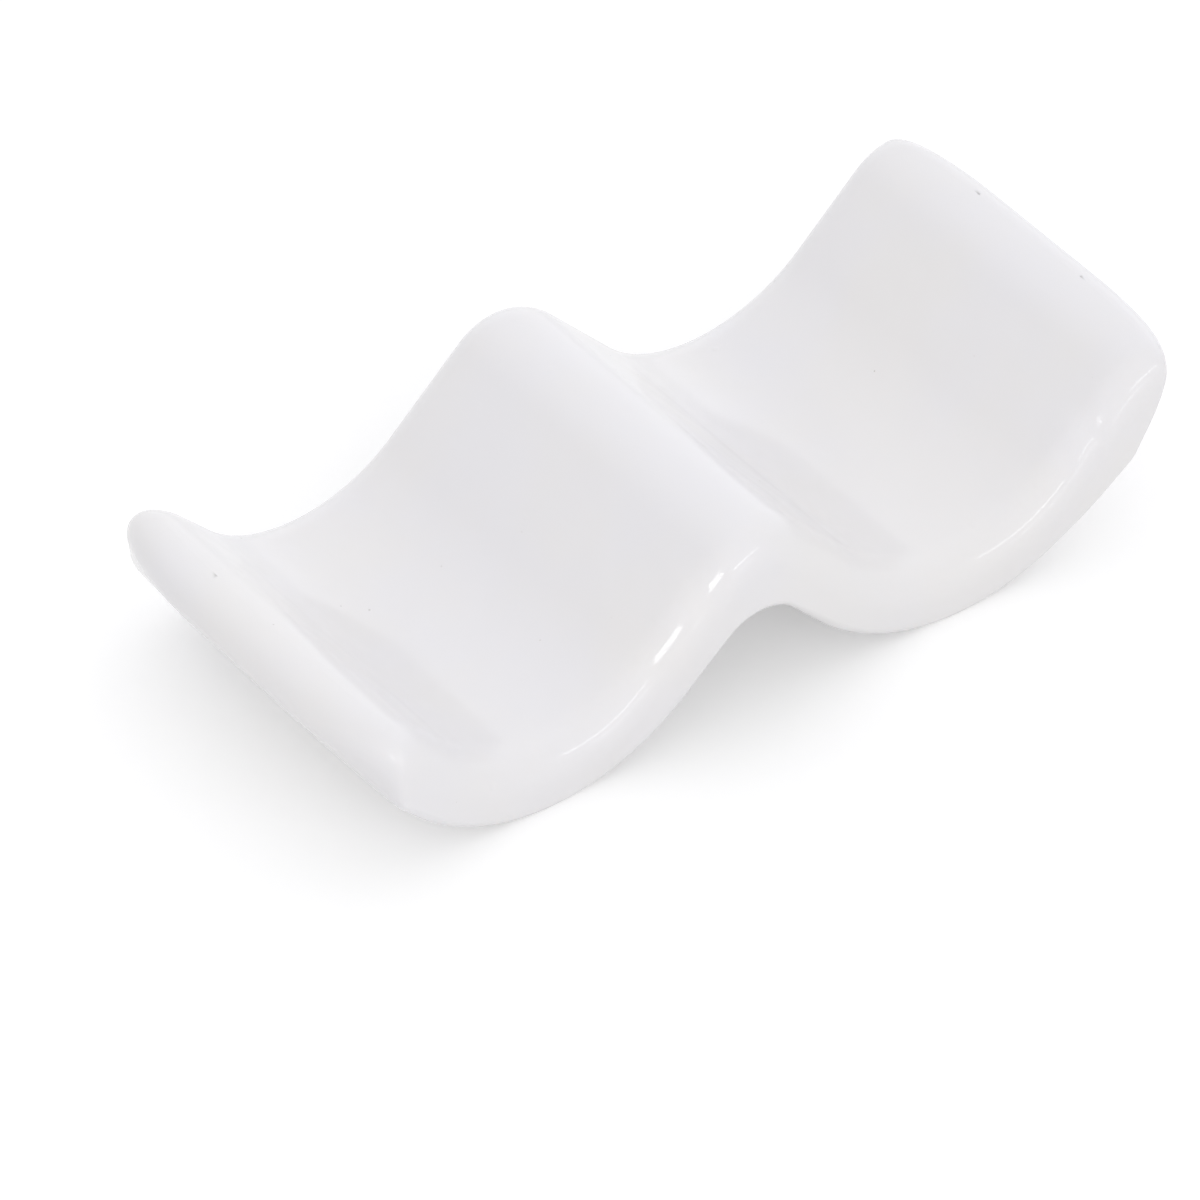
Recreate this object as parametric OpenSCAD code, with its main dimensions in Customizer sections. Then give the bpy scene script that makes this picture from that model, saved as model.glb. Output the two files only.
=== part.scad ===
// A chopstick rest in white glazed ceramic. One sheet of clay is pressed into a
// wave with two troughs, one for chopsticks and one for a spoon, and is fired in
// one piece, so the part is a single solid. The wave runs along X, its troughs
// run along Y, and the undersides of both troughs stand on the table at Z = 0.

/* [Sheet] */
// Width of the sheet, measured along the troughs
sheet_w = 42; // [36:0.5:48]
// Thickness of the fired ceramic, from one trough to the other
wall = 6.8; // [6:0.1:7.2]
// How far each oval corner reaches along the wave
corner_length = 4.75; // [4.25:0.25:7]
// How far each oval corner reaches along the end
corner_width = 13.5; // [6:0.5:16]
// Radius that rounds the rim over on the upper face
rim_r = 3.8; // [1:0.1:3.9]
// Radius that rounds the rim over on the lower face
under_rim_r = 1.1; // [0.6:0.1:2.4]
// Width of the flat that is ground under each trough, so that the rest stands firm
foot_w = 8; // [4:0.5:12]

/* [Left end] */
// Height of the upper face above the table, where the left end is level
left_end_h = 16; // [14.5:0.1:18]
// Radius of the roll-over at the left end, on the upper face
left_end_r = 6.8; // [6.2:0.1:8]
// Slope of the upper face below the left end, in degrees
left_end_angle = 44.5; // [40:0.5:50]
// Slope of the underside where it leaves the left trough, in degrees
left_under_angle = 44; // [38:0.5:44.5]
// Slope of the underside at the edge of the left end, in degrees
left_under_end_angle = 46; // [45:0.5:52]
// How far the left end turns down past level at its edge, in degrees
left_edge_angle = 36; // [20:0.5:37]

/* [Left trough] */
// Radius of the left trough, on the upper face
left_trough_r = 14.75; // [12:0.25:16]

/* [Middle crest] */
// Height of the middle crest above the table
crest_h = 20.6; // [18:0.1:22]
// Radius of the middle crest, on the upper face
crest_r = 6.8; // [6:0.1:8]
// Radius of the hollow under the middle crest
arch_r = 5.5; // [3:0.1:6.5]
// Slope of the crest's left flank, in degrees
crest_left_angle = 45; // [40:0.5:50]
// Slope of the crest's right flank, in degrees
crest_right_angle = 45; // [40:0.5:50]

/* [Right trough] */
// Radius of the right trough, on the upper face
right_trough_r = 16.25; // [13:0.25:18]

/* [Right end] */
// Height of the upper face above the table, where the right end is level
right_end_h = 20.3; // [18.5:0.1:22]
// Radius of the roll-over at the right end, on the upper face
right_end_r = 7.4; // [6.8:0.1:9]
// Slope of the upper face below the right end, in degrees
right_end_angle = 45.5; // [42:0.5:50]
// Slope of the underside where it leaves the right trough, in degrees
right_under_angle = 28; // [24:0.5:34]
// Slope of the underside at the edge of the right end, in degrees
right_under_end_angle = 47.5; // [38:0.5:52]
// How far the right end turns down past level at its edge, in degrees
right_edge_angle = 34; // [20:0.5:36]

/* [Hidden] */

// Largest turn between two stations along the wave, in degrees
step_angle = 5;
// Steps in the quarter round of the rim, and in each oval corner
rim_steps = 5;
corner_steps = 9;
// Shortest stretch left between two stations
least_step = 0.25;
// How far a cut runs past what it cuts
overrun = 1;
// The two rounds of the rim take at most this share of the wall
rim_limit_share = 0.95;
rim_share = min(1, wall * rim_limit_share / (rim_r + under_rim_r));

// The upper face is a chain of arcs joined by straight flanks: left end, left
// trough, middle crest, right trough, right end. Bend is 1 on a crest, -1 in a
// trough.
bends = [1, -1, 1, -1, 1];
radii = [left_end_r, left_trough_r, crest_r, right_trough_r, right_end_r];
last_arc = len(radii) - 1;

// Slope at the start and at the end of every arc, up to the right, in degrees
slopes = [
    left_edge_angle, -left_end_angle, crest_left_angle,
    -crest_right_angle, right_end_angle, -right_edge_angle
];

// A trough sinks below Z = 0 by just so much that cutting it off there leaves a
// flat of the foot's width. This is the height of its floor, on the upper face.
function trough_floor(r) = sqrt(pow(r + wall, 2) - pow(foot_w / 2, 2)) - r;

heights = [
    left_end_h, trough_floor(left_trough_r), crest_h,
    trough_floor(right_trough_r), right_end_h
];

// Distance along X between the centres of two neighbouring arcs. The two arcs
// climb part of the height between them, and the straight flank climbs the rest.
function run_after(i) =
    let (a = abs(slopes[i + 1]), r = radii[i] + radii[i + 1])
    let (rise = abs(heights[i + 1] - heights[i]))
    r * sin(a) + (rise - r * (1 - cos(a))) / tan(a);
function centre_x(i) = i == 0 ? 0 : centre_x(i - 1) + run_after(i - 1);

// Each arc as [centre x, centre z, radius, bend]
upper_arcs = [
    for (i = [0 : last_arc])
        [centre_x(i), heights[i] - bends[i] * radii[i], radii[i], bends[i]]
];

// Direction that stands square on the upper face, where it slopes by angle a
function square_to(a) = [-sin(a), cos(a)];

// A point on an arc, where its slope is angle a
function arc_point(arc, a) = [arc[0], arc[1]] + arc[3] * arc[2] * square_to(a);

// A piece of a face is an arc or a straight flank, as [start, end, radius, slope
// at the start, slope at the end]. An arc has its centre for start and end, and a
// flank has no radius.
function arc_piece(arc, a, b) = [[arc[0], arc[1]], [arc[0], arc[1]], arc[3] * arc[2], a, b];
function flank_piece(p, q, a) = [p, q, 0, a, a];
function slope_on(piece, f) = (1 - f) * piece[3] + f * piece[4];
function point_on(piece, f) =
    (1 - f) * piece[0] + f * piece[1] + piece[2] * square_to(slope_on(piece, f));
function piece_turn(piece) = abs(piece[4] - piece[3]);
function piece_length(piece) =
    norm(piece[1] - piece[0]) + piece_turn(piece) * PI / 180 * abs(piece[2]);

// The pieces of a face from one arc to another: the arcs and the flanks between them
function flank_after(arcs, turns, i) =
    let (a = turns[i + 1])
    flank_piece(arc_point(arcs[i], a), arc_point(arcs[i + 1], a), a);
function pieces_between(arcs, turns, first, last) = [
    for (i = [first : last]) each [
        arc_piece(arcs[i], turns[i], turns[i + 1]),
        if (i < last) flank_after(arcs, turns, i)
    ]
];
upper_pieces = pieces_between(upper_arcs, slopes, 0, last_arc);
last_piece = len(upper_pieces) - 1;

// From trough to trough the underside runs one wall below the upper face. Only the
// hollow under the middle crest has a radius of its own: its centre moves along the
// line that halves the angle between the two flanks, so that it touches both.
middle_arc = last_arc / 2;
arch_shift =
    let (left = square_to(slopes[middle_arc]), right = square_to(slopes[middle_arc + 1]))
    (crest_r - wall - arch_r) * (left + right) / (1 + left * right);
function under_arc(i) =
    let (a = upper_arcs[i])
    i == middle_arc
        ? [a[0] + arch_shift[0], a[1] + arch_shift[1], arch_r, a[3]]
        : [a[0], a[1], a[2] - a[3] * wall, a[3]];
under_arcs = [for (i = [0 : last_arc]) under_arc(i)];
under_slopes = [
    -left_under_end_angle, -left_under_angle, crest_left_angle,
    -crest_right_angle, right_under_angle, right_under_end_angle
];

// Past each trough the underside bends on more gently, on an arc of its own, from a
// point p. It turns from the slope a to the slope b, and ends on the line that stands
// square on the upper face's edge and goes through the centre of the upper arc i.
function heading(a) = [cos(a), sin(a)];
function gentle_radius(p, a, b, i, edge) =
    ([upper_arcs[i][0], upper_arcs[i][1]] - p) * heading(edge)
    / ((square_to(a) - square_to(b)) * heading(edge));

// It lies below two pieces of the upper face, so its turn from the slope a to the
// slope b is shared out between them by their lengths.
function gentle_pieces(centre, r, a, b, above) =
    let (share = piece_length(above[0]) / (piece_length(above[0]) + piece_length(above[1])))
    let (middle = (1 - share) * a + share * b, arc = [centre[0], centre[1], r, -1])
    [arc_piece(arc, a, middle), arc_piece(arc, middle, b)];
function left_bend() =
    let (a = under_slopes[1], b = under_slopes[0], p = arc_point(under_arcs[1], a))
    let (r = gentle_radius(p, a, b, 0, slopes[0]))
    gentle_pieces(p + r * square_to(a), r, b, a, [upper_pieces[0], upper_pieces[1]]);
function right_bend() =
    let (a = under_slopes[last_arc], b = under_slopes[last_arc + 1])
    let (p = arc_point(under_arcs[last_arc - 1], a))
    let (r = gentle_radius(p, a, b, last_arc, slopes[last_arc + 1]))
    let (above = [upper_pieces[last_piece - 1], upper_pieces[last_piece]])
    gentle_pieces(p + r * square_to(a), r, a, b, above);
under_pieces = concat(
    left_bend(), pieces_between(under_arcs, under_slopes, 1, last_arc - 1), right_bend()
);

// Lengths of the pieces, along the middle of the wall
lengths = [
    for (k = [0 : last_piece]) (piece_length(upper_pieces[k]) + piece_length(under_pieces[k])) / 2
];
function length_before(k) = k == 0 ? 0 : length_before(k - 1) + lengths[k - 1];
starts = [for (k = [0 : last_piece + 1]) length_before(k)];
wave_length = starts[last_piece + 1];

// The piece that holds the distance s along the wave
function piece_at(s, k = 0) = k == last_piece || s < starts[k + 1] ? k : piece_at(s, k + 1);

// Stations between the corners, so close that neither face turns far between two
function cuts_of(k) =
    let (turn = max(piece_turn(upper_pieces[k]), piece_turn(under_pieces[k])))
    max(1, ceil(turn / step_angle));
middle_stations = [
    for (k = [0 : last_piece])
        for (j = [0 : cuts_of(k) - 1])
            let (s = starts[k] + lengths[k] * j / cuts_of(k))
            if (s > corner_length + least_step && s < wave_length - corner_length - least_step)
                s
];

// The outline of the sheet, drawn in by a distance. Each entry is [distance
// along the wave, half the width there].
corner_angles = [for (i = [0 : corner_steps]) 90 * i / corner_steps];
function outline(inset) =
    let (length = corner_length - inset, width = corner_width - inset)
    let (straight = sheet_w / 2 - corner_width)
    [
        for (a = corner_angles) [corner_length - length * cos(a), straight + width * sin(a)],
        for (s = middle_stations) [s, straight + width],
        for (i = [corner_steps : -1 : 0])
            let (a = corner_angles[i])
            [wave_length - corner_length + length * cos(a), straight + width * sin(a)]
    ];

// The rim as a row of loops, from the upper face round to the underside. Each is
// [inset from the outline, drop, side]. The drop is measured from the upper face on
// side 1, from the lower face on side -1, and from half way on side 0.
rim_angles = [for (i = [0 : rim_steps]) 90 * i / rim_steps];
function rim_loop(a, side) =
    let (r = (side > 0 ? rim_r : under_rim_r) * rim_share)
    [r * (1 - cos(a)), r * (1 - sin(a)), side];
rim_loops = [
    for (i = [rim_steps : -1 : 0]) rim_loop(rim_angles[i], 1),
    [0, (rim_r - under_rim_r) * rim_share / 2, 0],
    for (a = rim_angles) rim_loop(a, -1)
];

// A point of the surface: s along the wave and y across it, and a drop from one side.
// The way through the wall starts square to the upper face and ends on the straight
// line between the two faces. It changes over gently from the one to the other.
function surface_point(s, y, drop, side) =
    let (k = piece_at(s), f = (s - starts[k]) / lengths[k])
    let (upper = point_on(upper_pieces[k], f), under = point_on(under_pieces[k], f))
    let (through = norm(upper - under))
    let (depth = side > 0 ? drop : side < 0 ? through - drop : through / 2 + drop)
    let (t = depth / through, change = t * t * (3 - 2 * t))
    let (p = (1 - change) * (upper - depth * square_to(slope_on(upper_pieces[k], f)))
        + change * ((1 - t) * upper + t * under))
    [p[0], y, p[1]];

wave_points = [
    for (loop = rim_loops)
        for (q = outline(loop[0]))
            for (y = [-q[1], q[1]])
                surface_point(q[0], y, loop[1], loop[2])
];
wave_xs = [for (p = wave_points) p[0]];
low_x = min(wave_xs);
high_x = max(wave_xs);

// The skin: two triangles for every square between neighbouring points
stations = len(outline(0));
loops = len(rim_loops);
function spot(loop, station, far) = (loop * stations + station) * 2 + far;
function square_faces(a, b, c, d) = [[a, b, c], [a, c, d]];
function upper_faces(i) =
    square_faces(spot(0, i, 0), spot(0, i, 1), spot(0, i + 1, 1), spot(0, i + 1, 0));
function under_faces(i) =
    let (k = loops - 1)
    square_faces(spot(k, i, 0), spot(k, i + 1, 0), spot(k, i + 1, 1), spot(k, i, 1));
function near_rim_faces(k, i) =
    square_faces(spot(k, i, 0), spot(k, i + 1, 0), spot(k + 1, i + 1, 0), spot(k + 1, i, 0));
function far_rim_faces(k, i) =
    square_faces(spot(k, i + 1, 1), spot(k, i, 1), spot(k + 1, i, 1), spot(k + 1, i + 1, 1));
function left_edge_faces(k) =
    square_faces(spot(k, 0, 1), spot(k, 0, 0), spot(k + 1, 0, 0), spot(k + 1, 0, 1));
function right_edge_faces(k) =
    let (i = stations - 1)
    square_faces(spot(k, i, 0), spot(k, i, 1), spot(k + 1, i, 1), spot(k + 1, i, 0));

wave_faces = [
    for (i = [0 : stations - 2]) each concat(upper_faces(i), under_faces(i)),
    for (k = [0 : loops - 2])
        each concat(left_edge_faces(k), right_edge_faces(k)),
    for (k = [0 : loops - 2], i = [0 : stations - 2])
        each concat(near_rim_faces(k, i), far_rim_faces(k, i))
];

// Everything below the table top, where the feet are ground flat
module ground() {
    translate([low_x - overrun, -sheet_w / 2 - overrun, -wall])
        cube([high_x - low_x + 2 * overrun, sheet_w + 2 * overrun, wall]);
}

// The fired and glazed body, with the middle of its length at X = 0
module rest_body() {
    color([0.93, 0.92, 0.93])
        translate([-(low_x + high_x) / 2, 0, 0])
            difference() {
                polyhedron(points = wave_points, faces = wave_faces);
                ground();
            }
}

rest_body();
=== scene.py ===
# %% [markdown]
# # A chopstick rest in white glaze
#
# The real thing is one sheet of porcelain, about nine centimetres long. While it is
# soft it is pressed into a wave with two troughs. Then it is dried, dipped in a clear
# glaze and fired, and only the two strips that it stands on are left bare.
#
# Everything here is built in the frame of the measured CAD part, in metres. The wave
# runs along X, its troughs run along Y, and the feet stand at Z = 0. The part comes
# in first, and the size of its box is printed.

from collections import namedtuple
from math import ceil, cos, exp, pi, radians, sin, sqrt, tan

import bpy
import numpy as np
from mathutils import Matrix, Vector, noise


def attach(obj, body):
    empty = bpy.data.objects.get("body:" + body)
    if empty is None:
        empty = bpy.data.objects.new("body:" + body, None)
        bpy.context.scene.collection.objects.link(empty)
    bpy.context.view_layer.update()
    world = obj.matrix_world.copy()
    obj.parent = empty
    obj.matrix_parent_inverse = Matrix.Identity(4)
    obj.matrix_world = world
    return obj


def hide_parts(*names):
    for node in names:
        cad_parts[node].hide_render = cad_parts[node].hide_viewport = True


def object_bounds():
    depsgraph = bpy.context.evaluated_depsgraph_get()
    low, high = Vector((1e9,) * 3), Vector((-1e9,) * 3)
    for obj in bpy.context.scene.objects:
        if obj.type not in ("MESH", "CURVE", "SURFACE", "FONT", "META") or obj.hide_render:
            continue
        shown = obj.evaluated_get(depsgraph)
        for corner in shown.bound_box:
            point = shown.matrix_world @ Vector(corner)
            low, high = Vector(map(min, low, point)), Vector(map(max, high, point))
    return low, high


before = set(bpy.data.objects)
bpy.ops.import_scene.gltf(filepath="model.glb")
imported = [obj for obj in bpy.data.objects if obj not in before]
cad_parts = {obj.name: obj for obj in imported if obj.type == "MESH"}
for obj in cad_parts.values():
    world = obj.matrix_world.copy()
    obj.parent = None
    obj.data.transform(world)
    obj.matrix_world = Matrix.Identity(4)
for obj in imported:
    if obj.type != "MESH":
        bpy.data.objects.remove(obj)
cad_low, cad_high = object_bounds()
cad_size = [round((high - low) * 1000, 1) for low, high in zip(cad_low, cad_high)]
print("CAD part, length, width and height in mm:", cad_size)

# %% [markdown]
# ## The wave
#
# Seen from the side, the upper face is a chain of five arcs: left end, left trough,
# middle crest, right trough and right end. Straight flanks join them without a kink.
# It could be drawn as one free curve, but arcs keep it to a few sizes that a radius
# gauge and a caliper can read off the real thing, and the same sizes drive the CAD
# part, so the two agree. Lengths are in millimetres until the mesh is made.

# %% Sizes of the sheet
MM = 0.001
SHEET_WIDTH = 42.0
WALL = 6.8
FOOT_WIDTH = 8.0
HOLLOW_RADIUS = 5.5

# The rim is rounded off towards the upper face, 1, and towards the underside, -1.
RIM_RADIUS = {1: 3.8, -1: 1.1}


def trough_floor(radius):
    """Height of a trough's floor that leaves a foot of the right width below it."""
    return sqrt((radius + WALL) ** 2 - (FOOT_WIDTH / 2) ** 2) - radius


# Each arc has its radius and its height on the upper face, and 1 where it is a crest
# or -1 where it is a trough.
ARCS = [
    ("left end", 6.8, 16.0, 1),
    ("left trough", 14.75, trough_floor(14.75), -1),
    ("middle crest", 6.8, 20.6, 1),
    ("right trough", 16.25, trough_floor(16.25), -1),
    ("right end", 7.4, 20.3, 1),
]
MIDDLE = 2
LAST = len(ARCS) - 1

# Slopes in degrees at the start of the first arc, between each two arcs, and at the
# end of the last one. A flank that rises to the right is positive. Under the two
# ends the underside has slopes of its own.
UPPER_SLOPES = [36.0, -44.5, 45.0, -45.0, 45.5, -34.0]
UNDER_SLOPES = [-46.0, -44.0, 45.0, -45.0, 28.0, 47.5]
print("Heights on the upper face, in mm:", [round(arc[2], 2) for arc in ARCS])

# %% [markdown]
# Only the first arc's place is free. Each next arc lies just far enough along X for
# the straight flank between the two to touch both, so its place is worked out from
# the two heights and the slope of the flank. The underside has the same arcs, one
# wall lower. Under the middle crest it has a smaller radius than the crest needs,
# because the clay is drawn up into the fold there.

# %% Place the arcs
def square_to(angle):
    """The direction that stands square on the sheet, where it slopes by this angle."""
    turn = np.radians(angle)
    return np.stack([-np.sin(turn), np.cos(turn)], axis=-1)


def run_between(i):
    """Distance along X from the centre of arc i to the centre of the next one."""
    slope = radians(abs(UPPER_SLOPES[i + 1]))
    both_radii = ARCS[i][1] + ARCS[i + 1][1]
    rise = abs(ARCS[i + 1][2] - ARCS[i][2])
    return both_radii * sin(slope) + (rise - both_radii * (1 - cos(slope))) / tan(slope)


upper_arcs = []
place = 0.0
for i, (name, radius, height, bend) in enumerate(ARCS):
    upper_arcs.append((np.array([place, height - bend * radius]), radius, bend))
    print(f"{name}: centre {place:.2f} mm along, radius {radius} mm")
    if i < LAST:
        place += run_between(i)

under_arcs = [(centre, radius - bend * WALL, bend) for centre, radius, bend in upper_arcs]
left_side = square_to(UPPER_SLOPES[MIDDLE])
right_side = square_to(UPPER_SLOPES[MIDDLE + 1])
crest_centre, crest_radius, crest_bend = upper_arcs[MIDDLE]
hollow_shift = (crest_radius - WALL - HOLLOW_RADIUS) / (1 + left_side @ right_side)
hollow_centre = crest_centre + hollow_shift * (left_side + right_side)
under_arcs[MIDDLE] = (hollow_centre, HOLLOW_RADIUS, crest_bend)

# %% [markdown]
# An arc and a straight flank are written alike, as one kind of piece: a start, an end,
# a radius and the slopes at both ends. An arc starts and ends at its own centre, and a
# flank has no radius. So one formula gives a point on either of them.

# %% Pieces of a face
Piece = namedtuple("Piece", "start end radius slope_before slope_after")


def arc_point(arc, slope):
    """The point where an arc has this slope."""
    centre, radius, bend = arc
    return centre + bend * radius * square_to(slope)


def slope_on(piece, share):
    """The slope at a share of the way along a piece."""
    return piece.slope_before + share * (piece.slope_after - piece.slope_before)


def point_on(piece, share):
    """The points at these shares of the way along a piece."""
    straight = piece.start + share[:, None] * (piece.end - piece.start)
    return straight + piece.radius * square_to(slope_on(piece, share))


def length_of(piece):
    """The length of a piece along its curve."""
    turn = radians(abs(piece.slope_after - piece.slope_before))
    return float(np.linalg.norm(piece.end - piece.start)) + turn * abs(piece.radius)


def pieces_between(arcs, slopes, first, last):
    """The pieces from one arc to another, with the flanks between them."""
    pieces = []
    for i in range(first, last + 1):
        before, after = slopes[i], slopes[i + 1]
        centre, radius, bend = arcs[i]
        pieces.append(Piece(centre, centre, bend * radius, before, after))
        if i < last:
            start, end = arc_point(arcs[i], after), arc_point(arcs[i + 1], after)
            pieces.append(Piece(start, end, 0.0, after, after))
    return pieces


upper_pieces = pieces_between(upper_arcs, UPPER_SLOPES, 0, LAST)
print("Pieces of the upper face:", len(upper_pieces))

# %% [markdown]
# Past each trough the underside doesn't roll over with the upper face. It bends on
# more gently, out to the edge, so the end is a thick, rounded nose, which is strong
# and pleasant to hold. Above that gentle arc the upper face has two pieces, so the
# arc's turn is shared out between them by their lengths.

# %% The underside of the two ends
def heading(angle):
    """The direction that runs along the sheet, where it slopes by this angle."""
    turn = radians(angle)
    return np.array([cos(turn), sin(turn)])


def gentle_arc(trough, near_slope, far_slope, end, edge_slope):
    """The arc from a trough's arc out to the edge, which lies square below the end's."""
    inner = arc_point(under_arcs[trough], near_slope)
    edge = heading(edge_slope)
    reach = (upper_arcs[end][0] - inner) @ edge
    radius = reach / ((square_to(near_slope) - square_to(far_slope)) @ edge)
    return inner + radius * square_to(near_slope), radius


def gentle_pieces(centre, radius, before, after, above):
    """Two pieces on one arc, with the lengths of the two pieces above as shares."""
    share = length_of(above[0]) / (length_of(above[0]) + length_of(above[1]))
    middle = (1 - share) * before + share * after
    first = Piece(centre, centre, -radius, before, middle)
    return [first, Piece(centre, centre, -radius, middle, after)]


left_far, left_near = UNDER_SLOPES[:2]
right_near, right_far = UNDER_SLOPES[-2:]
left_arc = gentle_arc(1, left_near, left_far, 0, UPPER_SLOPES[0])
right_arc = gentle_arc(LAST - 1, right_near, right_far, LAST, UPPER_SLOPES[-1])
under_pieces = gentle_pieces(*left_arc, left_far, left_near, upper_pieces[:2])
under_pieces += pieces_between(under_arcs, UNDER_SLOPES, 1, LAST - 1)
under_pieces += gentle_pieces(*right_arc, right_near, right_far, upper_pieces[-2:])
print(f"Under the right end the radius is {right_arc[1]:.1f} mm")

# %% [markdown]
# The tile is thought of as flat first, and bent afterwards. A place on the flat tile
# is a distance along the wave, a distance across it and a depth in the wall. Bending
# finds both skins at that distance along, and a way through the clay between them.
# The way starts square to the upper skin and ends on the straight line between the
# two skins. It changes over gently, so that the nose of an end has no crease.

# %% Bend a place of the flat tile into the wave
lengths = [
    (length_of(above) + length_of(below)) / 2
    for above, below in zip(upper_pieces, under_pieces)
]
starts = np.concatenate([[0.0], np.cumsum(lengths)])
wave_length = float(starts[-1])
print(f"The sheet was {wave_length:.1f} mm long before it was bent")


def soft_step(share):
    """Goes from 0 to 1 as the share does, but starts and ends level."""
    return share * share * (3 - 2 * share)


def bend_sheet(along, across, drop, side):
    """Where places of the flat tile come to lie, in millimetres.

    The drop is a depth below the upper skin where side is 1, a height above the lower
    skin where side is -1, and a share of the way between the two rounds where it is 0.
    """
    point = np.zeros((len(along), 2))
    piece_of = np.searchsorted(starts, along, side="right") - 1
    piece_of = np.clip(piece_of, 0, len(lengths) - 1)
    for k, length in enumerate(lengths):
        here = piece_of == k
        share = (along[here] - starts[k]) / length
        upper = point_on(upper_pieces[k], share)
        lower = point_on(under_pieces[k], share)
        square = square_to(slope_on(upper_pieces[k], share))
        through = np.linalg.norm(upper - lower, axis=1)
        between = RIM_RADIUS[1] + drop[here] * (through - RIM_RADIUS[1] - RIM_RADIUS[-1])
        depths = [through - drop[here], between, drop[here]]
        depth = np.choose(side[here].astype(int) + 1, depths)
        way = (depth / through)[:, None]
        change = soft_step(way)
        straight = (1 - way) * upper + way * lower
        point[here] = (1 - change) * (upper - depth[:, None] * square) + change * straight
    return np.stack([point[:, 0], across, point[:, 1]], axis=1)


# %% [markdown]
# ## The skin of the tile
#
# The tile's corners are oval, so that the two ends bow outwards. Its rim is rounded
# over softly on the upper face, where a sponge has smoothed the clay, and more
# tightly on the underside. A bevel modifier could round a box like this, but it
# leaves its own pattern of faces at the corners, and a glossy glaze shows each change
# of them. Rings that follow the outline, each a little further round the rim, give
# even quads. The upper face and the underside are then grids that fill the innermost
# rings.

# %% The outline, drawn in by a distance
CORNER_LENGTH = 4.75
CORNER_WIDTH = 13.5
CORNER_STEPS = 18
RIM_STEPS = 14
EDGE_SHARES = [0.2, 0.4, 0.6, 0.8]
STATION_GAP = 0.4
COLUMNS = 56

corner_angles = np.linspace(0, pi / 2, CORNER_STEPS + 1)
straight_run = wave_length - 2 * CORNER_LENGTH
station_count = ceil(straight_run / STATION_GAP)
straight_stations = CORNER_LENGTH + straight_run * np.arange(1, station_count) / station_count


def outline(inset):
    """Distances along the wave, and half the width of the tile at each of them."""
    straight = SHEET_WIDTH / 2 - CORNER_WIDTH
    corner_along = CORNER_LENGTH - (CORNER_LENGTH - inset) * np.cos(corner_angles)
    corner_half = straight + (CORNER_WIDTH - inset) * np.sin(corner_angles)
    along = np.concatenate(
        [corner_along, straight_stations, wave_length - corner_along[::-1]]
    )
    middle_half = np.full(len(straight_stations), SHEET_WIDTH / 2 - inset)
    half = np.concatenate([corner_half, middle_half, corner_half[::-1]])
    return along, half


stations = len(outline(0)[0])
print("Stations along the tile:", stations)

# %% [markdown]
# A ring goes once round the tile: along the near side, up the right end, back along
# the far side and down the left end. The first rings go from the upper face round to
# the edge, a few go down the edge, and the others go from there round to the
# underside.

# %% Lay the rings of the rim
def round_rings(side):
    """Inset, drop and side of the rings of one round, from the face to the edge."""
    radius = RIM_RADIUS[side]
    angles = np.linspace(pi / 2, 0, RIM_STEPS + 1)
    return [(radius * (1 - cos(a)), radius * (1 - sin(a)), side) for a in angles]


rim_rings = round_rings(1)
rim_rings += [(0.0, share, 0) for share in EDGE_SHARES]
rim_rings += round_rings(-1)[::-1]
inner_columns = np.arange(1, COLUMNS) / COLUMNS * 2 - 1


def ring(inset, drop, side):
    """Places along and across, the drop and the side, once round the tile."""
    along, half = outline(inset)
    end_across = inner_columns * half[0]
    ring_along = np.concatenate(
        [along, np.full(COLUMNS - 1, along[-1]), along[::-1], np.full(COLUMNS - 1, along[0])]
    )
    ring_across = np.concatenate([-half, end_across, half[::-1], end_across[::-1]])
    filled = np.ones(len(ring_along))
    return ring_along, ring_across, filled * drop, filled * side


ring_size = 2 * stations + 2 * (COLUMNS - 1)
rim_points = np.concatenate([bend_sheet(*ring(*place)) for place in rim_rings])
print("Points in one ring:", ring_size, "and rings:", len(rim_rings))

# %% [markdown]
# The grids share their border with the innermost rings, so that there is no seam. A
# table of point numbers makes that plain: its border holds numbers of the ring, and
# its inside holds numbers of new points.

# %% Fill the upper face and the underside
def border_numbers(first):
    """A table of point numbers whose border is the ring that starts at this number."""
    table = np.zeros((stations, COLUMNS + 1), dtype=int)
    count = first + np.arange(ring_size)
    table[:, 0] = count[:stations]
    table[-1, 1:-1] = count[stations : stations + COLUMNS - 1]
    far = count[stations + COLUMNS - 1 : 2 * stations + COLUMNS - 1]
    table[::-1, -1] = far
    table[0, -2:0:-1] = count[2 * stations + COLUMNS - 1 :]
    return table


def face_grid(side, first_of_ring, first_free):
    """New points inside one face, and the table that numbers all of its points."""
    table = border_numbers(first_of_ring)
    along, half = outline(RIM_RADIUS[side])
    rows, columns = np.meshgrid(along[1:-1], inner_columns, indexing="ij")
    across = columns * half[1:-1, None]
    flat = np.zeros(rows.size)
    points = bend_sheet(rows.ravel(), across.ravel(), flat, flat + side)
    table[1:-1, 1:-1] = first_free + np.arange(rows.size).reshape(rows.shape)
    return points, table


def grid_quads(table):
    """One quad between each four neighbours in a table of point numbers."""
    corners = [table[:-1, :-1], table[1:, :-1], table[1:, 1:], table[:-1, 1:]]
    return np.stack(corners, axis=-1).reshape(-1, 4)


last_ring = (len(rim_rings) - 1) * ring_size
upper_points, upper_table = face_grid(1, 0, len(rim_points))
free = len(rim_points) + len(upper_points)
under_points, under_table = face_grid(-1, last_ring, free)
points = np.concatenate([rim_points, upper_points, under_points])

ring_table = np.arange(len(rim_rings) * ring_size).reshape(len(rim_rings), ring_size)
ring_table = np.concatenate([ring_table, ring_table[:, :1]], axis=1)
quads = np.concatenate(
    [grid_quads(upper_table), grid_quads(under_table)[:, ::-1], grid_quads(ring_table)]
)
points[:, 0] -= (points[:, 0].min() + points[:, 0].max()) / 2
print("Points:", len(points), "and quads:", len(quads))

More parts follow.
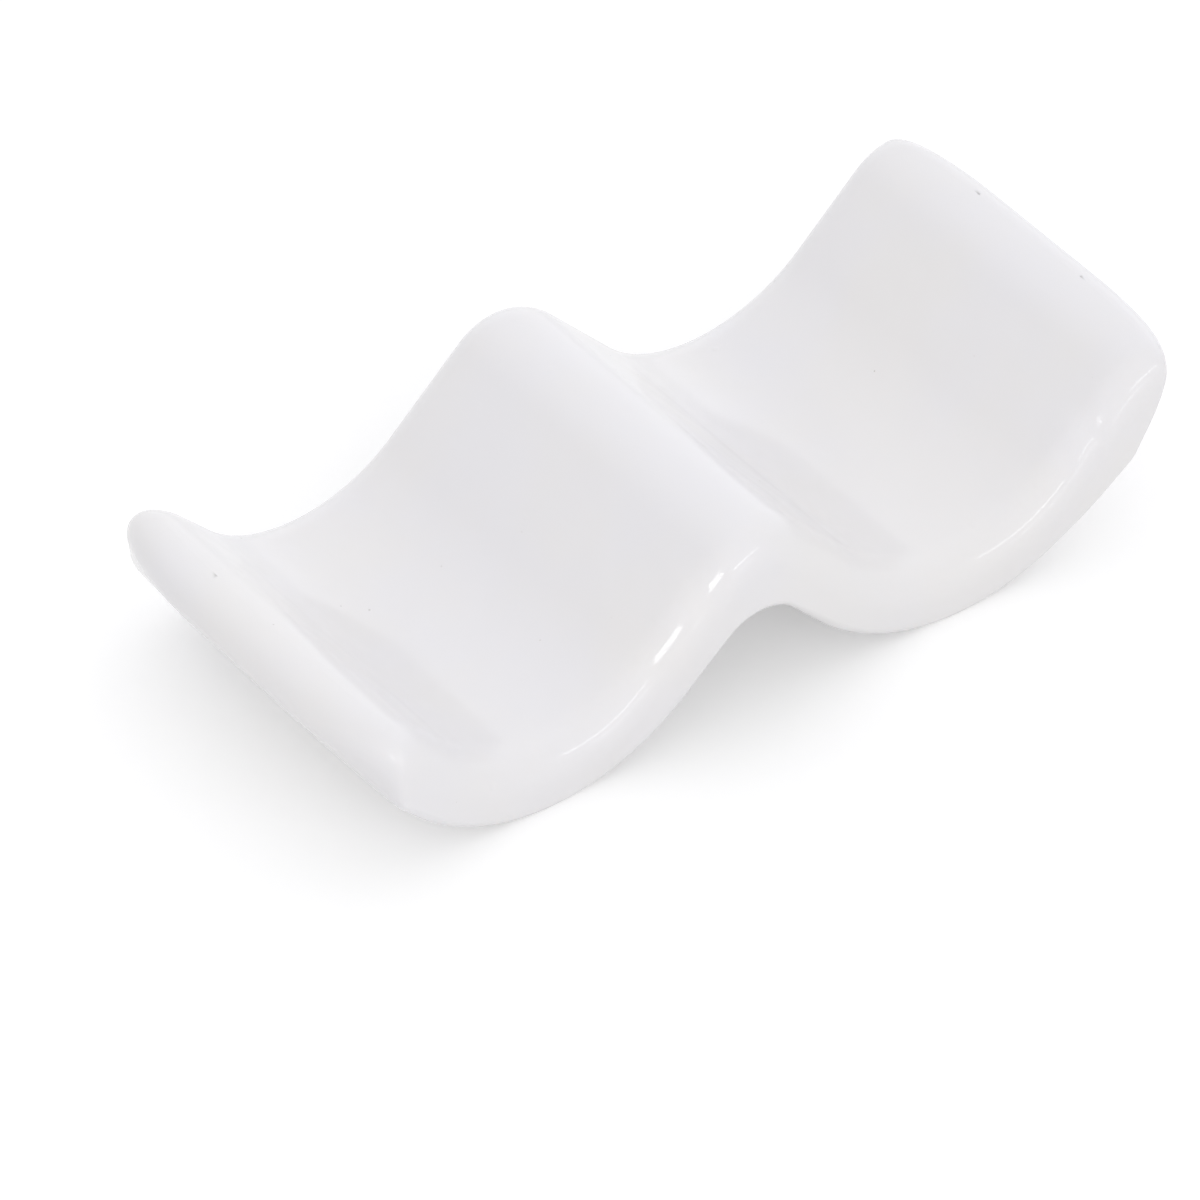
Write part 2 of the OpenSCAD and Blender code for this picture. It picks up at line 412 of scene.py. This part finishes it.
# %% [markdown]
# ## The touch of the clay
#
# Clay and glaze are never quite true: the skin sinks and swells by less than a tenth
# of a millimetre over the width of a finger. It can't be seen as a shape, but it
# bends the reflections, and a perfect surface looks like plastic. A texture could
# fake it with a bump, but the outline and the rim's highlights would stay perfect,
# so the points themselves move. They only move inwards, to stay within the CAD box.

# %% A mesh, and the way out of it
def make_mesh(name, points, quads):
    """A mesh with smooth shading from points in millimetres."""
    mesh = bpy.data.meshes.new(name)
    mesh.from_pydata((points * MM).tolist(), [], quads.tolist())
    mesh.polygons.foreach_set("use_smooth", [True] * len(quads))
    mesh.validate()
    mesh.update()
    return mesh


def outward(mesh):
    """The direction that points out of the mesh, at each of its points."""
    flat = np.empty(len(mesh.vertices) * 3)
    mesh.vertex_normals.foreach_get("vector", flat)
    return flat.reshape(-1, 3)


smooth_mesh = make_mesh("smooth tile", points, quads)
ways_out = outward(smooth_mesh)
bpy.data.meshes.remove(smooth_mesh)
print("Directions out of the skin:", len(ways_out))

# %% [markdown]
# The near rim was also trimmed by hand and has three shallow dents, the deepest about
# a fifth of a millimetre. Each one tilts the rim a little and so catches light that
# the even rim would miss. A dent fades out inwards from the rim, and down the edge, so
# that it doesn't nick the outline below. The rings of the rim are in order from the
# upper face to the underside, so a ring's number says how far down the edge it is.

# %% How much of a dent each point takes
# How far in front of the middle line a dent starts, and where it has its full depth.
DENTS_FROM, DENTS_FULL = 15.0, 18.0

# It is full up to one ring of the rim and gone at the other.
LAST_FULL_RING = RIM_STEPS - 2
FIRST_EVEN_RING = RIM_STEPS + len(EDGE_SHARES) + 1

ring_numbers = np.concatenate(
    [
        np.repeat(np.arange(len(rim_rings)), ring_size),
        np.zeros(len(upper_points)),
        np.full(len(under_points), len(rim_rings)),
    ]
)
above_edge = (FIRST_EVEN_RING - ring_numbers) / (FIRST_EVEN_RING - LAST_FULL_RING)
on_near_rim = (-points[:, 1] - DENTS_FROM) / (DENTS_FULL - DENTS_FROM)
dent_shares = soft_step(np.clip(above_edge, 0, 1)) * np.clip(on_near_rim, 0, 1)
print("Points that can lie in a dent:", int((dent_shares > 0).sum()))

# %% [markdown]
# A swell is a soft noise with a width and a height. A dent is a bell curve along X
# with a middle, a reach and a depth. Both are added up at each point, which then
# moves inwards by the sum.

# %% Let the skin swell and sink
SWELLS = [(17.0, 0.05), (6.0, 0.02)]
LEAST_SINK = 0.03
DENTS = [(-14.7, 2.4, 0.22), (-9.0, 1.5, 0.14), (36.3, 1.0, 0.17)]


def sink_at(point, dent_share):
    """How far the skin sinks at a point, from the swells and the dents."""
    depth = LEAST_SINK
    for width, height in SWELLS:
        depth += height * (0.5 + 0.5 * noise.noise(Vector(point) / width))
    for middle, reach, dent_depth in DENTS:
        bell = exp(-(((point[0] - middle) / reach) ** 2))
        depth += dent_share * dent_depth * bell
    return depth


sinks = np.array([sink_at(*place) for place in zip(points, dent_shares)])
points = points - sinks[:, None] * ways_out
print(f"The skin sinks by {sinks.min():.3f} to {sinks.max():.3f} mm")

# %% [markdown]
# ## The feet
#
# A glazed piece that stood on its glaze would stick to the kiln shelf, so the two
# strips under the troughs are wiped bare and are ground flat after the firing. In
# the mesh everything below Z = 0 is pressed up to Z = 0. How far each point was
# below is kept on the mesh as a number, and the finish uses it as its mask.

# %% Grind the feet flat
below_table = np.maximum(-points[:, 2], 0.0)
points[:, 2] = np.maximum(points[:, 2], 0.0)
glazed_mesh = make_mesh("glazed_rest", points, quads)
ground = glazed_mesh.attributes.new("ground", "FLOAT", "POINT")
ground.data.foreach_set("value", below_table)

glazed_rest = bpy.data.objects.new("glazed_rest", glazed_mesh)
bpy.context.scene.collection.objects.link(glazed_rest)
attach(glazed_rest, "root")
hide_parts("rest_body")
print("Points ground flat:", int((below_table > 0).sum()))

# %% [markdown]
# ## Sums that make nodes
#
# A finish is a small sum over the surface, such as a colour that is a little warmer
# where a noise is high. Written out in nodes, such a sum takes a page. This class
# wraps one output of a node, and Python's own signs on it add the Math nodes.
# Colours and vectors can't go through a Math node, which would turn them grey, so
# they have methods of their own that use Mix and Vector Math.

# %% A socket that can be added and multiplied
class Wire:
    """One output of a node. Sums on it add Math nodes to the same material."""

    def __init__(self, tree, socket=None):
        self.tree = tree
        self.socket = socket

    def node(self, kind, settings=None, inputs=None, output=0):
        """Adds any node: its settings first, then values or wires for its sockets."""
        made = self.tree.nodes.new(kind)
        for name, value in (settings or {}).items():
            setattr(made, name, value)
        for name, value in (inputs or {}).items():
            if isinstance(value, Wire):
                self.tree.links.new(value.socket, made.inputs[name])
            else:
                made.inputs[name].default_value = value
        return Wire(self.tree, made.outputs[output]) if made.outputs else made

    def math(self, operation, *values):
        return self.node("ShaderNodeMath", {"operation": operation}, dict(enumerate(values)))

    def __add__(self, other):
        return self.math("ADD", self, other)

    def __sub__(self, other):
        return self.math("SUBTRACT", self, other)

    def __rsub__(self, other):
        return self.math("SUBTRACT", other, self)

    def __mul__(self, other):
        return self.math("MULTIPLY", self, other)

    def __truediv__(self, other):
        return self.math("DIVIDE", self, other)

    __radd__ = __add__
    __rmul__ = __mul__

    def between(self, low, high):
        """0 up to low and 1 from high on, with a soft step between them."""
        ends = {"Value": self, "From Min": low, "From Max": high}
        return self.node("ShaderNodeMapRange", {"interpolation_type": "SMOOTHSTEP"}, ends)

    def times(self, scale):
        """A vector, scaled."""
        ends = {0: self, "Scale": scale}
        return self.node("ShaderNodeVectorMath", {"operation": "SCALE"}, ends)

    def blend(self, low, high):
        """The colour low where this wire is 0, and high where it is 1."""
        ends = {0: self, 6: low, 7: high}
        return self.node("ShaderNodeMix", {"data_type": "RGBA"}, ends, output=2)


# %% [markdown]
# ## The white glaze
#
# Looked at closely, the white isn't one white. The glaze lies a little thicker in
# some places and is cooler there. It carries a few pinholes where gas escaped in
# the kiln, and their darker colour is painted shade inside the holes. Its skin has a
# ripple that only the reflections show. All of it is made from noises in millimetres,
# so that it keeps its scale, and it needs no image.

# %% Clouds in the white
glaze = bpy.data.materials.new("white_glaze")
glaze.use_nodes = True
glaze.node_tree.nodes.clear()
skin = Wire(glaze.node_tree)
place_mm = skin.node("ShaderNodeTexCoord", output="Object").times(1 / MM)


def clouds(width, detail=2.0):
    """A soft noise whose patches are about this many millimetres wide."""
    ends = {"Vector": place_mm, "Scale": 1 / width, "Detail": detail}
    return skin.node("ShaderNodeTexNoise", {"noise_dimensions": "3D"}, ends)


COOL_WHITE = (0.84, 0.83, 0.852, 1)
WARM_WHITE = (0.846, 0.832, 0.832, 1)
PATCH_WIDTH = 16.0

white = clouds(PATCH_WIDTH).between(0.3, 0.7).blend(COOL_WHITE, WARM_WHITE)
print("Nodes for the clouds in the white:", len(glaze.node_tree.nodes))

# %% [markdown]
# A Voronoi pattern scatters points in space, and the skin cuts through the small
# ball round some of them. Those cuts are the pinholes, so that no two are alike. The
# bump dents them, and they are painted darker, which is painted shade inside the holes. A
# second, wider scatter makes grains that stand up under the glaze and catch light.

# %% Pinholes and grains
# The darker colour of the pinholes is painted shade inside the holes.
PINHOLE_PAINTED_SHADE = (0.55, 0.52, 0.5, 1)
PINHOLE_SHADE_STRENGTH = 0.7


def scatter(cell, least, most, shift=0.0):
    """1 inside small balls of these radii, one in each cell, and 0 outside them."""
    moved = {0: place_mm, 1: (shift, shift, shift)}
    vector = skin.node("ShaderNodeVectorMath", {"operation": "ADD"}, moved)
    ends = {"Vector": vector, "Scale": 1 / cell}
    distance = skin.node("ShaderNodeTexVoronoi", None, ends, "Distance")
    random_colour = skin.node("ShaderNodeTexVoronoi", None, ends, "Color")
    random_share = skin.node("ShaderNodeSeparateColor", None, {0: random_colour}, 0)
    radius = least + random_share * (most - least)
    return 1 - (distance * cell / radius).between(0.3, 1.0)


pinhole = scatter(cell=3.5, least=0.08, most=0.18)
grain = scatter(cell=7.0, least=0.3, most=0.6, shift=31.0)
# Painted shade: the glaze colour goes darker inside the pinholes.
white = (pinhole * PINHOLE_SHADE_STRENGTH).blend(white, PINHOLE_PAINTED_SHADE)
print("Nodes with the pinholes and grains:", len(glaze.node_tree.nodes))

# %% [markdown]
# The bare strips of the feet show the fired clay: matt, a little warmer and greyer
# than the glaze, with fine grains and a few scuffs. The glaze was wiped by hand, so
# its edge wavers by some tenths of a millimetre.

# %% Bare clay on the feet
BARE_CLAY = (0.78, 0.75, 0.7, 1)
SCUFFED_CLAY = (0.6, 0.58, 0.55, 1)
CLAY_GRAIN_WIDTH = 0.35

# The glaze ends where this much clay was ground off, in millimetres, and wavers there.
GLAZE_EDGE = (0.05, 0.09)
WAVER_WIDTH, WAVER_DEPTH = 1.6, 0.12

depth_ground = skin.node("ShaderNodeAttribute", {"attribute_name": "ground"}, None, "Fac")
wavering = (clouds(WAVER_WIDTH) - 0.5) * WAVER_DEPTH
bare = (depth_ground + wavering).between(*GLAZE_EDGE)
clay_grain = clouds(CLAY_GRAIN_WIDTH, 4.0)
clay = (clay_grain.between(0.55, 0.8) * clouds(3.0)).blend(BARE_CLAY, SCUFFED_CLAY)
colour = bare.blend(white, clay)
print("Nodes with the bare clay:", len(glaze.node_tree.nodes))

# %% [markdown]
# The ripple of the glaze is a bump, because it is too fine for the mesh. Its height
# is given in millimetres, and the Bump node turns it into metres. The shader is a
# soft white body under a clear, glossy coat, which is how a glaze works: light goes
# through the coat and comes back from the body, and the coat mirrors the room.

# %% Put the finish together
# Each ripple has its width and its height, in millimetres.
RIPPLES = [(6.0, 0.2), (3.0, 0.02), (1.1, 0.005)]
GRAIN_HEIGHT = 0.02
PINHOLE_DEPTH = 0.04
CLAY_GRAIN_HEIGHT = 0.03
BODY_ROUGHNESS = 0.32
COAT_SHARE = 0.6

ripple = sum(clouds(width, 1.0) * height for width, height in RIPPLES)
glaze_relief = ripple + grain * GRAIN_HEIGHT - pinhole * PINHOLE_DEPTH
relief = (1 - bare) * glaze_relief + bare * clay_grain * CLAY_GRAIN_HEIGHT
bump = skin.node("ShaderNodeBump", None, {"Strength": 1.0, "Distance": MM, "Height": relief})
finish = skin.node(
    "ShaderNodeBsdfPrincipled",
    {"subsurface_method": "RANDOM_WALK"},
    {
        "Base Color": colour,
        "Roughness": BODY_ROUGHNESS + clouds(9.0) * 0.06 + bare * 0.4,
        "Normal": bump,
        "IOR": 1.5,
        "Specular IOR Level": 0.3,
        "Subsurface Weight": 0.12,
        "Subsurface Radius": (1.0, 0.95, 0.9),
        "Subsurface Scale": 1.2 * MM,
        "Coat Weight": (1 - bare) * COAT_SHARE,
        "Coat Roughness": 0.07,
        "Coat IOR": 1.5,
    },
)
skin.node("ShaderNodeOutputMaterial", None, {"Surface": finish})
glazed_mesh.materials.append(glaze)
print("Nodes in the glaze:", len(glaze.node_tree.nodes))

# %% [markdown]
# ## The floor and the room
#
# The rest stands on a plain white table in a white room. The table's own white
# would come out grey next to the glaze, so where the camera or a reflection looks
# at it, it also glows a little. The light that it throws on the rest stays as it
# is, and so does the shadow under the rest.

# %% A white table
FLOOR_HALF = 1.5
FLOOR_WHITE = (0.8, 0.8, 0.8, 1)
FLOOR_GLOW = 0.3


def ray_is(wire, *kinds):
    """1 where the light path is one of these kinds, and 0 for any other."""
    found = wire.node("ShaderNodeLightPath", None, None, kinds[0])
    for kind in kinds[1:]:
        found = wire.math("MAXIMUM", found, wire.node("ShaderNodeLightPath", None, None, kind))
    return found


MIRRORS = ["Is Glossy Ray", "Is Transmission Ray"]

table_white = bpy.data.materials.new("table_white")
table_white.use_nodes = True
table_white.node_tree.nodes.clear()
table = Wire(table_white.node_tree)
table_diffuse = table.node("ShaderNodeBsdfDiffuse", None, {"Color": FLOOR_WHITE})
glow_strength = ray_is(table, "Is Camera Ray", *MIRRORS) * FLOOR_GLOW
table_glow = table.node("ShaderNodeEmission", None, {"Strength": glow_strength})
table_shader = table.node("ShaderNodeAddShader", None, {0: table_diffuse, 1: table_glow})
table.node("ShaderNodeOutputMaterial", None, {"Surface": table_shader})

floor_mesh = bpy.data.meshes.new("table_top")
floor_corners = [(-1, -1, 0), (1, -1, 0), (1, 1, 0), (-1, 1, 0)]
floor_points = [[c * FLOOR_HALF for c in corner] for corner in floor_corners]
floor_mesh.from_pydata(floor_points, [], [(0, 1, 2, 3)])
floor_mesh.materials.append(table_white)
floor = bpy.data.objects.new("table_top", floor_mesh)
bpy.context.scene.collection.objects.link(floor)
print("The table top is", 2 * FLOOR_HALF, "m square")

# %% [markdown]
# The room is as bright as the rest is white, all round, like a tent of white cloth.
# White on white is only seen by small differences, so two sides are brighter: a
# cool one at the far right, which draws soft bands along the crests and down the
# troughs, and a warmer one behind the camera, which fills the near side. Lamps with
# hard edges would draw the bands too sharply, so both are gradients of the room.

# %% The white room
TENT_WHITE = (1, 1, 1, 1)
ROOM_LIGHT = 0.67

# The cosine of the angle to a glowing side at which its light begins.
GLOW_FROM = 0.2

# Each side has its direction, its brightness and its tint.
GLOWS = [
    ("far right", (0.55, 0.6, 0.6), 0.48, (0.93, 0.94, 1.0, 1)),
    ("near left", (-0.6, -0.75, 0.3), 0.28, (1.0, 0.985, 0.98, 1)),
]

world = bpy.data.worlds.new("white_room")
world.use_nodes = True
world.node_tree.nodes.clear()
bpy.context.scene.world = world
room = Wire(world.node_tree)
room_direction = room.node("ShaderNodeTexCoord", output="Generated")
camera_ray = ray_is(room, "Is Camera Ray")
room_seen = ray_is(room, "Is Camera Ray", *MIRRORS)
room_strength = ROOM_LIGHT + room_seen * (1 - ROOM_LIGHT)
tent = {"Color": TENT_WHITE, "Strength": room_strength}
room_light = room.node("ShaderNodeBackground", None, tent)
for name, towards, brightness, tint in GLOWS:
    ends = {0: room_direction, 1: Vector(towards).normalized()}
    facing = room.node("ShaderNodeVectorMath", {"operation": "DOT_PRODUCT"}, ends, "Value")
    strength = facing.between(GLOW_FROM, 1.0) * (1 - camera_ray) * brightness
    glow = room.node("ShaderNodeBackground", None, {"Color": tint, "Strength": strength})
    room_light = room.node("ShaderNodeAddShader", None, {0: room_light, 1: glow})
    print(f"The {name} side glows by {brightness}")
room.node("ShaderNodeOutputWorld", None, {"Surface": room_light})

# %% [markdown]
# ## The lamps
#
# One long and narrow soft box stands in front. It gives the thin highlight that runs
# along the near rim. A second one, close to the table, adds the short lines lower
# down on the rim. A small one stands near, on the left, and a little too low for the
# even part of the rim to mirror it, so that only the dents catch it.

# %% Soft boxes
def soft_box(name, start, end, distance, width, brightness):
    """A narrow lamp from one direction to another, as the rest sees it."""
    start, end = Vector(start).normalized(), Vector(end).normalized()
    back = (start + end).normalized()
    along = (end - start).normalized()
    length = (end - start).length * distance / back.dot(start)
    lamp = bpy.data.lights.new(name, "AREA")
    lamp.shape = "RECTANGLE"
    lamp.size = length
    lamp.size_y = width
    lamp.energy = brightness * pi * length * width
    holder = bpy.data.objects.new(name, lamp)
    upright = back.cross(along)
    holder.matrix_world = Matrix.LocRotScale(
        back * distance, Matrix([along, upright, back]).transposed().to_quaternion(), None
    )
    bpy.context.scene.collection.objects.link(holder)
    print(f"{name}: {length:.2f} m long, {lamp.energy:.2f} W")


# Each lamp has its two ends, its distance and width in metres, and its brightness.
soft_box("front_strip", (0.38, -0.8, 0.46), (-0.29, -0.92, 0.27), 1.3, 0.07, 5.5)
soft_box("low_strip", (-0.2, -0.975, 0.06), (0.24, -0.95, 0.2), 1.3, 0.05, 4.0)
soft_box("left_box", (-0.56, -0.77, 0.31), (-0.7, -0.6, 0.42), 0.35, 0.03, 7.5)

# %% [markdown]
# ## The camera
#
# The camera stands where the picture was taken from: well above the table, off the
# left front corner, a little tilted, and far away with a long lens, so that the far
# end looks hardly smaller than the near one.

# %% Camera
CAMERA_AZIMUTH = 320.62
CAMERA_HEIGHT_ANGLE = 40.29
CAMERA_TILT = 3.03
CAMERA_DISTANCE = 922.9 * MM
CAMERA_AIM = Vector((-3.94, 1.25, -1.81)) * MM

turn = radians(CAMERA_AZIMUTH)
rise = radians(CAMERA_HEIGHT_ANGLE)
look = Vector((-sin(turn) * cos(rise), cos(turn) * cos(rise), -sin(rise)))
level_right = look.cross(Vector((0, 0, 1))).normalized()
upright = Matrix([level_right, level_right.cross(look), -look]).transposed()
tilt = Matrix.Rotation(radians(CAMERA_TILT), 3, "Z")

camera = bpy.data.objects.new("camera", bpy.data.cameras.new("camera"))
camera.data.lens = 300
camera.data.sensor_width = 36
camera.data.clip_start = 0.01
camera.matrix_world = Matrix.LocRotScale(
    CAMERA_AIM - look * CAMERA_DISTANCE, (upright @ tilt).to_quaternion(), None
)
bpy.context.scene.collection.objects.link(camera)
bpy.context.scene.camera = camera
bpy.context.scene.view_settings.view_transform = "Standard"
print(f"The camera is {camera.matrix_world.translation.length * 1000:.0f} mm away")
